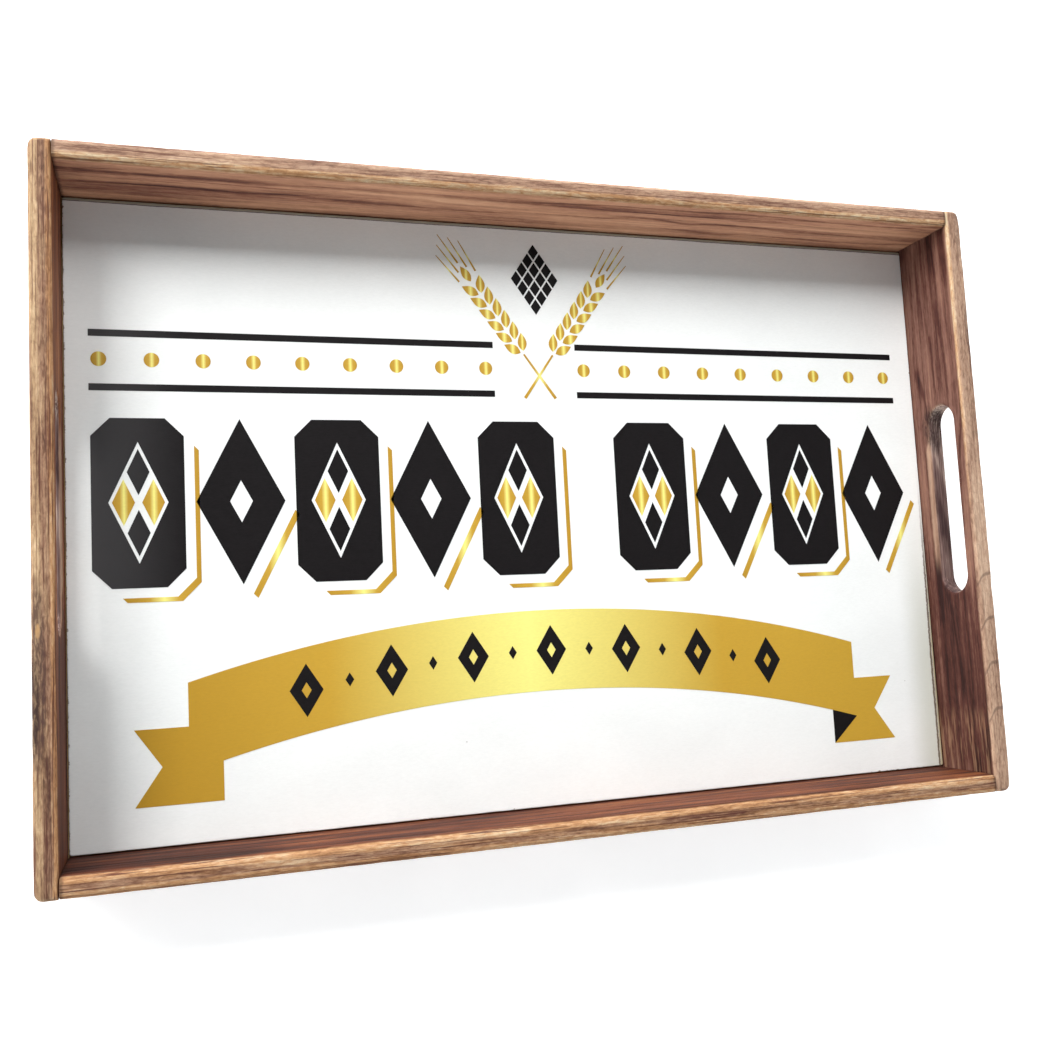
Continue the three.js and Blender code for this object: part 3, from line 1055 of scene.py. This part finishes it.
def shadow_of(chain):
    """A gold line along an open chain of points, moved to the right and down."""
    near = SHADOW_SHIFT
    far = SHADOW_SHIFT + SHADOW_WIDTH
    inner = [(x + near, y - near) for x, y in chain]
    outer = [(x + far, y - far) for x, y in reversed(chain)]
    return [inner + outer]


def shadow_plates():
    """The gold drop shadow along the right and foot of each motif, and each tile's gold pair."""
    plates = []
    for left, is_tile in band_places():
        if is_tile:
            outline = tile_outline(left)
            chain = [outline[3], outline[2], outline[1], outline[0]]
            for side in (-1, 1):
                centre = left + TILE_WIDTH / 2 + side * TILE_OPENING[0] / 2
                plates.append([diamond(centre, BAND_MIDDLE, *TILE_DIAMOND)])
        else:
            outline = lozenge_outline(left)
            chain = [outline[0], outline[3]]
        plates.append(shadow_of(chain))
    return plates


def ribbon_drop(x):
    """How far the ribbon's arc has fallen at x from its middle."""
    return RIBBON_RADIUS - math.sqrt(RIBBON_RADIUS ** 2 - x ** 2)


def ribbon_edge(start, end, height, steps=48):
    """Points along the ribbon's upper or lower edge, from start to end."""
    points = []
    for step in range(steps + 1):
        x = start + (end - start) * step / steps
        points.append((RIBBON_CENTRE_X + x, height - ribbon_drop(x)))
    return points


def ribbon_tail(side):
    """A tail's points, from the top of the ribbon's end to the foot of its fold."""
    top = RIBBON_TOP - ribbon_drop(RIBBON_HALF) - RIBBON_TAIL_DROP
    foot = top - RIBBON_TAIL_DEPTH
    tip = RIBBON_HALF + RIBBON_TAIL_OUT
    points = [
        (RIBBON_HALF, top),
        (tip, top),
        (tip - RIBBON_NOTCH, (top + foot) / 2),
        (tip, foot),
        (RIBBON_HALF - RIBBON_FOLD, foot),
    ]
    return [(RIBBON_CENTRE_X + side * x, y) for x, y in points]


def ribbon_plates():
    fold = RIBBON_HALF - RIBBON_FOLD
    lower = RIBBON_TOP - RIBBON_DEPTH
    outline = ribbon_edge(-RIBBON_HALF, RIBBON_HALF, RIBBON_TOP)
    outline += ribbon_tail(1)
    outline += ribbon_edge(fold, -fold, lower)
    outline += reversed(ribbon_tail(-1))
    return [[outline]]


def fold_plates():
    """The ribbon's dark underside, showing at its right-hand fold."""
    fold = RIBBON_HALF - RIBBON_FOLD
    lower = RIBBON_TOP - RIBBON_DEPTH
    foot = ribbon_tail(1)[-1]
    corner = (RIBBON_CENTRE_X + RIBBON_HALF, lower - ribbon_drop(RIBBON_HALF))
    return [[[*ribbon_edge(fold, RIBBON_HALF, lower, 4)[:-1], corner, foot]]]


def ribbon_diamond_plates():
    """Seven diamonds on the ribbon, with a small one between each two."""
    plates = []
    for index in range(RIBBON_DIAMONDS):
        x = (index - RIBBON_DIAMONDS // 2) * RIBBON_DIAMOND_PITCH
        y = RIBBON_TOP - RIBBON_DEPTH / 2 - ribbon_drop(x)
        x += RIBBON_CENTRE_X
        if index % 2 == 0:
            plates.append([diamond(x, y, 7.6, 12.0), diamond(x, y, 2.2, 3.6)])
        else:
            plates.append([diamond(x, y, 2.0, 3.2)])
    return plates


def lozenge_emblem_plates():
    """A lozenge made of sixteen small ones with bare lines between them."""
    half_width = 3.2
    half_height = 4.7
    gap = 0.84
    plates = []
    for row in range(EMBLEM_ROWS):
        for column in range(EMBLEM_ROWS):
            x = (row - column) * half_width
            y = EMBLEM_HEIGHT + (row + column - EMBLEM_ROWS + 1) * half_height
            plates.append([diamond(x, y, half_width * gap, half_height * gap)])
    return plates


def leaf(base, direction, length, width):
    """A pointed leaf that starts at base and lies along direction."""
    side = Vector((-direction.y, direction.x))
    outline = []
    steps = 8
    for sign in (1, -1):
        for step in range(steps):
            share = step / steps if sign == 1 else 1 - step / steps
            swell = math.sin(math.pi * share ** 0.85) * width / 2
            outline.append(tuple(base + direction * length * share + side * swell * sign))
    return outline


def stroke(start, end, start_width, end_width):
    """A straight tapering line."""
    direction = (end - start).normalized()
    side = Vector((-direction.y, direction.x))
    corners = ((start, start_width, 1), (start, start_width, -1), (end, end_width, -1), (end, end_width, 1))
    return [tuple(point + side * width / 2 * sign) for point, width, sign in corners]


def sprig_plates(side):
    """A grain sprig that leans to one side: its stem, pairs of leaves and five bristles."""
    foot = Vector((side * SPRIG_FOOT[0], SPRIG_FOOT[1]))
    tip = Vector((side * SPRIG_TIP[0], SPRIG_TIP[1]))
    along = (tip - foot).normalized()
    across = Vector((along.y, -along.x))
    plates = [[stroke(foot, foot + along * SPRIG_STEM, 1.5, 0.9)]]
    for pair in range(LEAF_PAIRS):
        base = foot + along * (SPRIG_STEM + 1.5 + pair * LEAF_PITCH)
        for hand in (1, -1):
            lean = along * math.cos(LEAF_LEAN) + across * math.sin(LEAF_LEAN) * hand
            lean.normalize()
            plates.append([leaf(base + across * hand * 0.9, lean, 9.2, 4.6)])
    crown = foot + along * SPRIG_CROWN
    plates.append([leaf(crown, along, 9.0, 4.2)])
    for bristle in range(-2, 3):
        start = crown + across * bristle * 2.6 + along * (11.0 - abs(bristle) * 4.0)
        plates.append([stroke(start, start + along * 17 + across * bristle * 0.9, 0.9, 0.3)])
    return plates


def make_print():
    black = ink_material()
    shades = (DEEP_GOLD, WARM_GOLD, PALE_GOLD, WARM_GOLD, DEEP_GOLD)
    gold = gold_material("gold_ink", (0.0, 0.34, 0.52, 0.7, 1.0), shades)
    shades = (DEEP_GOLD, WARM_GOLD, PALE_GOLD, WARM_GOLD, WARM_GOLD)
    ribbon_gold = gold_material("ribbon_gold_ink", (0.0, 0.22, 0.47, 0.74, 1.0), shades)
    plates = (
        ("print_rules", rule_plates(), black, INK_TOP),
        ("print_dots", dot_plates(), gold, INK_TOP),
        ("print_band", band_plates(), black, INK_TOP),
        ("print_band_shadow", shadow_plates(), gold, INK_TOP),
        ("print_ribbon", ribbon_plates(), ribbon_gold, INK_TOP),
        ("print_ribbon_fold", fold_plates(), black, OVERPRINT_TOP),
        ("print_ribbon_diamonds", ribbon_diamond_plates(), black, OVERPRINT_TOP),
        ("print_lozenge", lozenge_emblem_plates(), black, INK_TOP),
        ("print_left_sprig", sprig_plates(-1), gold, INK_TOP),
        ("print_right_sprig", sprig_plates(1), gold, OVERPRINT_TOP),
    )
    return [print_plates(*plate) for plate in plates]


# ------------ The scene


def make_walls():
    """The four stained boards, each with its own piece of timber, in place of the plain CAD ones."""
    end_x = (END_LOW.x + END_HIGH.x) / 2
    long_y = (LONG_LOW.y + LONG_HIGH.y) / 2
    quarter = math.pi / 2
    end = ("stained_pine_end_walls", end_wall_mesh, end_wall_cuts)
    side = ("stained_pine_long_walls", long_wall_mesh, long_wall_cuts)
    walls = (
        ("right_end_wall", "stained_right_end", *end, quarter, end_x, 0, 1.7, right_end_timber),
        ("left_end_wall", "stained_left_end", *end, -quarter, -end_x, 0, 4.1, left_end_timber),
        ("front_long_wall", "stained_front_side", *side, 0, 0, long_y, 7.3, front_timber),
        ("back_long_wall", "stained_back_side", *side, math.pi, 0, -long_y, 9.9, back_timber),
    )
    for node, name, slot, board_mesh, cuts, turn, x, y, seed, timber in walls:
        wall = make_wall(name, board_mesh, cuts, seed)
        wall.location = (x * MM, y * MM, 0)
        wall.rotation_euler = (0, 0, turn)
        repaint(wall, timber(seed))
        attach(wall, "root")
        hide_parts(node)


def make_floor_of_tray():
    """The painted board with its print, and the plywood base under it."""
    panel = make_panel()
    panel.data.materials.append(panel_material())
    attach(panel, "root")
    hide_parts("printed_panel")
    for piece in make_print():
        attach(piece, "root")
    repaint(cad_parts["base_board"], plywood_material())


def repaint(node, material):
    node.data.materials.clear()
    node.data.materials.append(material)


def make_nails():
    steel = nail_material()
    for name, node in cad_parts.items():
        if name.startswith("nail_"):
            repaint(node, steel)


# The studio, in metres: a pale sweep that rises all round, two soft boxes up and behind, one of
# them well to the left, and an even sky. A soft box is (name, centre, size, watts).
SWEEP_FLAT = 1.3
SWEEP_RADIUS = 3.2
SWEEP_RISE = 1.7
SWEEP_GAP = 0.0002
SWEEP_SIDES = 96
BOX_HEIGHT = 1.6
SOFT_BOXES = (
    ("left_soft_box", (-1.5, 1.72), (1.3, 1.52), 98),
    ("middle_soft_box", (0.015, 1.72), (0.47, 1.52), 30),
)
SKY_STRENGTH = 0.225
SKY_COLOUR = (0.82, 0.94, 1.0, 1)
FLOOR_GLOW = 0.7

# The camera: above the tray, and left of its middle.
CAMERA_PLACE = (-0.1757, -0.0574, 0.5168)
CAMERA_TURN = (0.0994, -0.3119, -0.0208)
CAMERA_LENS = 37.58


def make_sweep():
    """The studio floor: a flat disc whose rim curves up."""
    profile = [(radius, 0) for radius in (0.02, 0.4, 0.9, SWEEP_FLAT)]
    for step in range(1, 17):
        share = step / 16
        radius = SWEEP_FLAT + (SWEEP_RADIUS - SWEEP_FLAT) * math.sin(share * math.pi / 2)
        profile.append((radius, SWEEP_RISE * (1 - math.cos(share * math.pi / 2))))
    mesh = bmesh.new()
    rows = []
    for radius, z in profile:
        circle = arc((0, 0), radius, 0, 360 - 360 / SWEEP_SIDES, SWEEP_SIDES - 1)
        rows.append([mesh.verts.new((x, y, z - SWEEP_GAP)) for x, y in circle])
    bridge(mesh, rows)
    mesh.faces.new(rows[0])
    sweep = finished(mesh, "studio_sweep")
    g = Graph("pale_studio_paper")
    mottle = g.noise(g.place(), 3.0, 0.5, scale=0.02)
    paper = g.ramp(mottle, ((0.3, srgb(240, 240, 240)), (0.7, srgb(244, 244, 244))))
    g.shade(base_color=paper, roughness=0.9, emission_color=paper)
    g.shader.inputs["Emission Strength"].default_value = FLOOR_GLOW
    sweep.data.materials.append(g.material)


def make_light():
    world = bpy.data.worlds.new("even_sky")
    world.use_nodes = True
    sky = world.node_tree.nodes["Background"]
    sky.inputs["Color"].default_value = SKY_COLOUR
    sky.inputs["Strength"].default_value = SKY_STRENGTH
    bpy.context.scene.world = world
    for name, centre, size, watts in SOFT_BOXES:
        box = bpy.data.lights.new(name, "AREA")
        box.shape = "RECTANGLE"
        box.size, box.size_y = size
        box.energy = watts
        placed(name, box).location = (*centre, BOX_HEIGHT)


def make_camera():
    data = bpy.data.cameras.new("camera")
    data.sensor_width = 36
    data.lens = CAMERA_LENS
    camera = placed("camera", data)
    camera.rotation_mode = "ZYX"
    camera.rotation_euler = CAMERA_TURN
    camera.location = CAMERA_PLACE
    bpy.context.scene.camera = camera
    bpy.context.scene.view_settings.view_transform = "Standard"


make_camera()
make_light()
make_sweep()
make_walls()
make_floor_of_tray()
make_nails()
